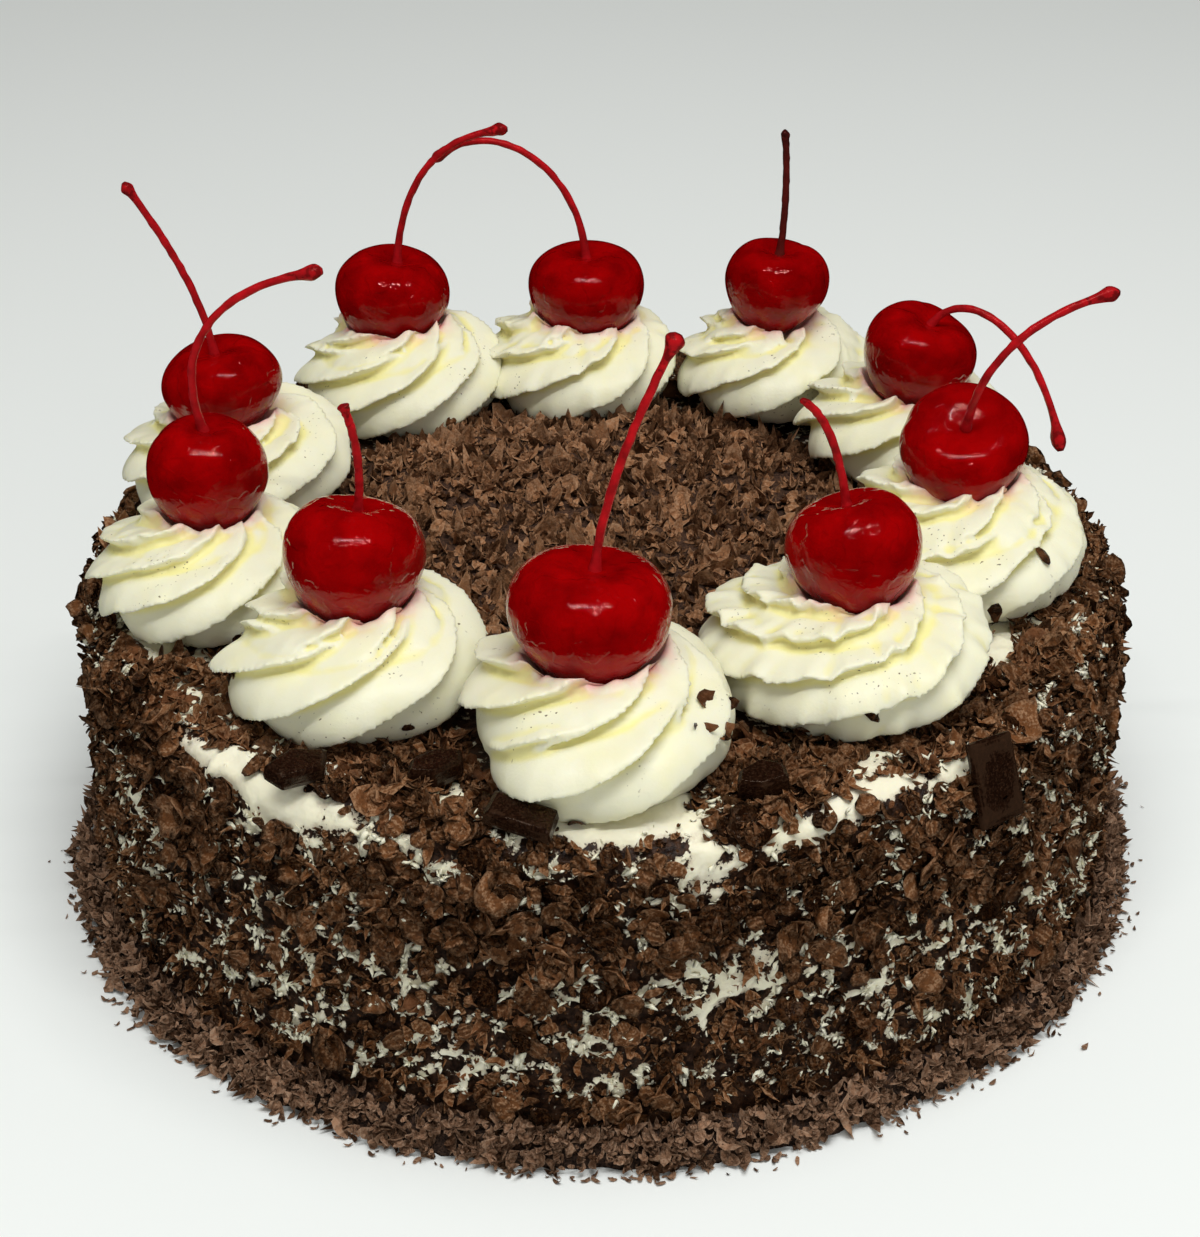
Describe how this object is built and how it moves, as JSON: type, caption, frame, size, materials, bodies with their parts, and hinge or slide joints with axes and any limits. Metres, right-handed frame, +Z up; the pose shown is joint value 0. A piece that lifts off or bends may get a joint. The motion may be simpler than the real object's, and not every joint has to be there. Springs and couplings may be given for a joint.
{
  "type": "black forest cake",
  "caption": "Round uncut cake coated in whipped cream and chocolate shavings, with a ring of piped cream swirls, each holding a glossy red cherry on its stem.",
  "frame": {"origin": "on the surface that the cake stands on, under the middle of the cake", "axes": "+Z up; -Y is the front that the tallest cherry stem faces; +X is to the right of it"},
  "size_m": [0.2265, 0.2265, 0.1482],
  "materials": {
    "whipped_cream": "satin ivory whipped cream",
    "chocolate_shavings": "dry milk and dark chocolate shavings",
    "cherry_skin": "wet glossy red cherry skin",
    "cherry_stalk": "syrup-dyed dark red stalk",
    "dark_chocolate": "satin broken chocolate"
  },
  "bodies": {
    "root": {"cake_body": "whipped_cream", "shavings_skirt": "chocolate_shavings", "shavings_bed": "chocolate_shavings", "rosette_01": "whipped_cream", "cherry_01": "cherry_skin", "stem_01": "cherry_stalk", "rosette_02": "whipped_cream", "cherry_02": "cherry_skin", "stem_02": "cherry_stalk", "rosette_03": "whipped_cream", "cherry_03": "cherry_skin", "stem_03": "cherry_stalk", "rosette_04": "whipped_cream", "cherry_04": "cherry_skin", "stem_04": "cherry_stalk", "rosette_05": "whipped_cream", "cherry_05": "cherry_skin", "stem_05": "cherry_stalk", "rosette_06": "whipped_cream", "cherry_06": "cherry_skin", "stem_06": "cherry_stalk", "rosette_07": "whipped_cream", "cherry_07": "cherry_skin", "stem_07": "cherry_stalk", "rosette_08": "whipped_cream", "cherry_08": "cherry_skin", "stem_08": "cherry_stalk", "rosette_09": "whipped_cream", "cherry_09": "cherry_skin", "stem_09": "cherry_stalk", "rosette_10": "whipped_cream", "cherry_10": "cherry_skin", "stem_10": "cherry_stalk", "chocolate_bar": "dark_chocolate", "chocolate_wedge": "dark_chocolate", "chocolate_shard": "dark_chocolate", "chocolate_stack": "dark_chocolate", "chocolate_curl": "dark_chocolate"}
  },
  "joints": []
}
